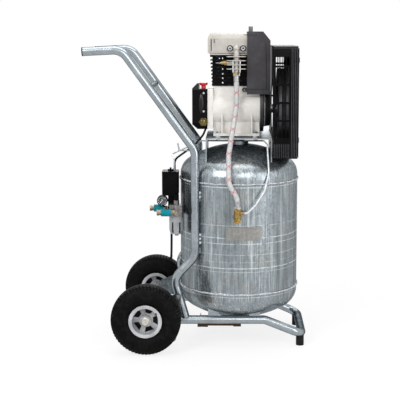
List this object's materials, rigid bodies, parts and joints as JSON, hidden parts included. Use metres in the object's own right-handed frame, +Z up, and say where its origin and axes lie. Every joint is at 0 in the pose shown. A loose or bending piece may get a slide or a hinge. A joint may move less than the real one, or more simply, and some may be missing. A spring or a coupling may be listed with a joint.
{
  "type": "wheelbarrow air compressor",
  "caption": "Upright air tank on a wheeled tube frame, with a belt-driven pump, motor, guard, pressure switch, gauge and quick couplings.",
  "frame": {"origin": "on the floor, under the middle of the object's outline", "axes": "+X points forward, from the handle to the feet; +Y to the left; +Z up along the tank"},
  "size_m": [0.8278, 0.786, 1.198],
  "materials": {
    "galvanised": "hot-dip galvanised, satin and slightly streaked",
    "black_rubber": "matte",
    "steel": "zinc plated",
    "zinc": "yellow zinc plated",
    "tyre": "matte black",
    "grey_plastic": "light grey moulding",
    "brass": "machined",
    "red": "red",
    "cast_aluminium": "sand-cast, light",
    "black_cast": "black painted casting",
    "iron": "dark paint",
    "dark_plastic": "dark grey moulding",
    "motor_paint": "dark grey paint",
    "belt": "fabric-faced V-belt",
    "black_plastic": "satin black moulding",
    "hose": "braided, light grey with red flecks",
    "white_nylon": "white nylon",
    "bowl": "light grey guard over a clear bowl",
    "teal": "teal sleeve",
    "cable": "black rubber sheath"
  },
  "bodies": {
    "compressor": {"air_shroud": "dark_plastic", "axle": "steel", "axle_plates": "galvanised", "base_tube": "galvanised", "belt_guard_back": "black_plastic", "belt_guard_front": "black_plastic", "check_valve": "brass", "coupling_bodies": "steel", "crankcase": "cast_aluminium", "cylinder_block": "black_cast", "cylinder_head": "cast_aluminium", "discharge_hose": "hose", "discharge_manifold": "cast_aluminium", "drain_valve": "brass", "drive_belt": "belt", "end_cover": "black_cast", "filter_bowl": "bowl", "gauge_case": "black_plastic", "grip_end_plugs": "black_rubber", "handle_cross_bar": "galvanised", "hose_ferrules": "steel", "hub_caps": "zinc", "intake_stud": "steel", "left_side_tube": "galvanised", "mains_cord": "cable", "mains_cord_coil": "cable", "mains_plug": "cable", "motor_cable": "cable", "motor_fan_cowl": "motor_paint", "motor_housing": "motor_paint", "mounting_hardware": "steel", "oil_sight_glass": "brass", "platform": "galvanised", "regulator_body": "cast_aluminium", "right_side_tube": "galvanised", "rubber_feet": "black_rubber", "safety_valve": "brass", "switch_base": "black_plastic", "switch_cover": "black_plastic", "tank_heads": "galvanised", "tank_shell": "galvanised", "terminal_box": "motor_paint", "unloader_tube": "white_nylon", "valve_plate": "cast_aluminium"},
    "right_wheel": {"right_tyre": "tyre", "right_rim": "grey_plastic"},
    "left_wheel": {"left_tyre": "tyre", "left_rim": "grey_plastic"},
    "crank_train": {"crankshaft": "steel", "flywheel": "iron"},
    "motor_train": {"motor_rotor": "steel", "motor_pulley": "iron"},
    "oil_plug": {"oil_plug": "red"},
    "safety_ring": {"safety_ring": "steel"},
    "switch_knob": {"switch_knob": "black_plastic"},
    "regulator_knob": {"regulator_knob": "black_plastic"},
    "gauge_needle": {"gauge_needle": "white_nylon"},
    "drain_lever": {"drain_lever": "red"},
    "right_coupling_sleeve": {"right_coupling_sleeve": "teal"},
    "left_coupling_sleeve": {"left_coupling_sleeve": "teal"}
  },
  "joints": [
    {"name": "right_wheel_spin", "type": "hinge", "parent": "compressor", "child": "right_wheel", "pos_m": [-0.1845, -0.26, 0.13], "axis": [0, 1, 0], "continuous": true},
    {"name": "left_wheel_spin", "type": "hinge", "parent": "compressor", "child": "left_wheel", "pos_m": [-0.1845, 0.26, 0.13], "axis": [0, 1, 0], "continuous": true},
    {"name": "crank_spin", "type": "hinge", "parent": "compressor", "child": "crank_train", "pos_m": [0.1565, -0.03, 0.893], "axis": [1, 0, 0], "continuous": true},
    {"name": "motor_spin", "type": "hinge", "parent": "compressor", "child": "motor_train", "pos_m": [0.1565, 0.185, 0.877], "axis": [1, 0, 0], "continuous": true},
    {"name": "oil_plug_lift", "type": "slide", "parent": "compressor", "child": "oil_plug", "axis": [0, 0, 1], "range_m": [0, 0.03]},
    {"name": "safety_ring_pull", "type": "slide", "parent": "compressor", "child": "safety_ring", "axis": [-1, 0, 0], "range_m": [0, 0.003], "stiffness_N_per_m": 600, "springref_m": -0.002},
    {"name": "switch_knob_pull", "type": "slide", "parent": "compressor", "child": "switch_knob", "axis": [0, 0, 1], "range_m": [0, 0.006]},
    {"name": "regulator_turn", "type": "hinge", "parent": "compressor", "child": "regulator_knob", "pos_m": [-0.0775, -0.125, 0.56], "axis": [0, 0, 1], "range_deg": [-540, 540]},
    {"name": "gauge_reading", "type": "hinge", "parent": "compressor", "child": "gauge_needle", "pos_m": [-0.1335, -0.095, 0.545], "axis": [0, 1, 0], "range_deg": [0, 270], "stiffness_Nm_per_rad": 0.0012, "springref_deg": -8.59},
    {"name": "drain_turn", "type": "hinge", "parent": "compressor", "child": "drain_lever", "pos_m": [0.0155, 0, 0.07], "axis": [0, 0, 1], "range_deg": [0, 90]},
    {"name": "right_sleeve_pull", "type": "slide", "parent": "compressor", "child": "right_coupling_sleeve", "axis": [1, 0, 0], "range_m": [0, 0.006], "stiffness_N_per_m": 900, "springref_m": -0.002},
    {"name": "left_sleeve_pull", "type": "slide", "parent": "compressor", "child": "left_coupling_sleeve", "axis": [1, 0, 0], "range_m": [0, 0.006], "stiffness_N_per_m": 900, "springref_m": -0.002}
  ],
  "couplings": [
    {"joint": "motor_spin", "follows": "crank_spin", "ratio": 3}
  ]
}
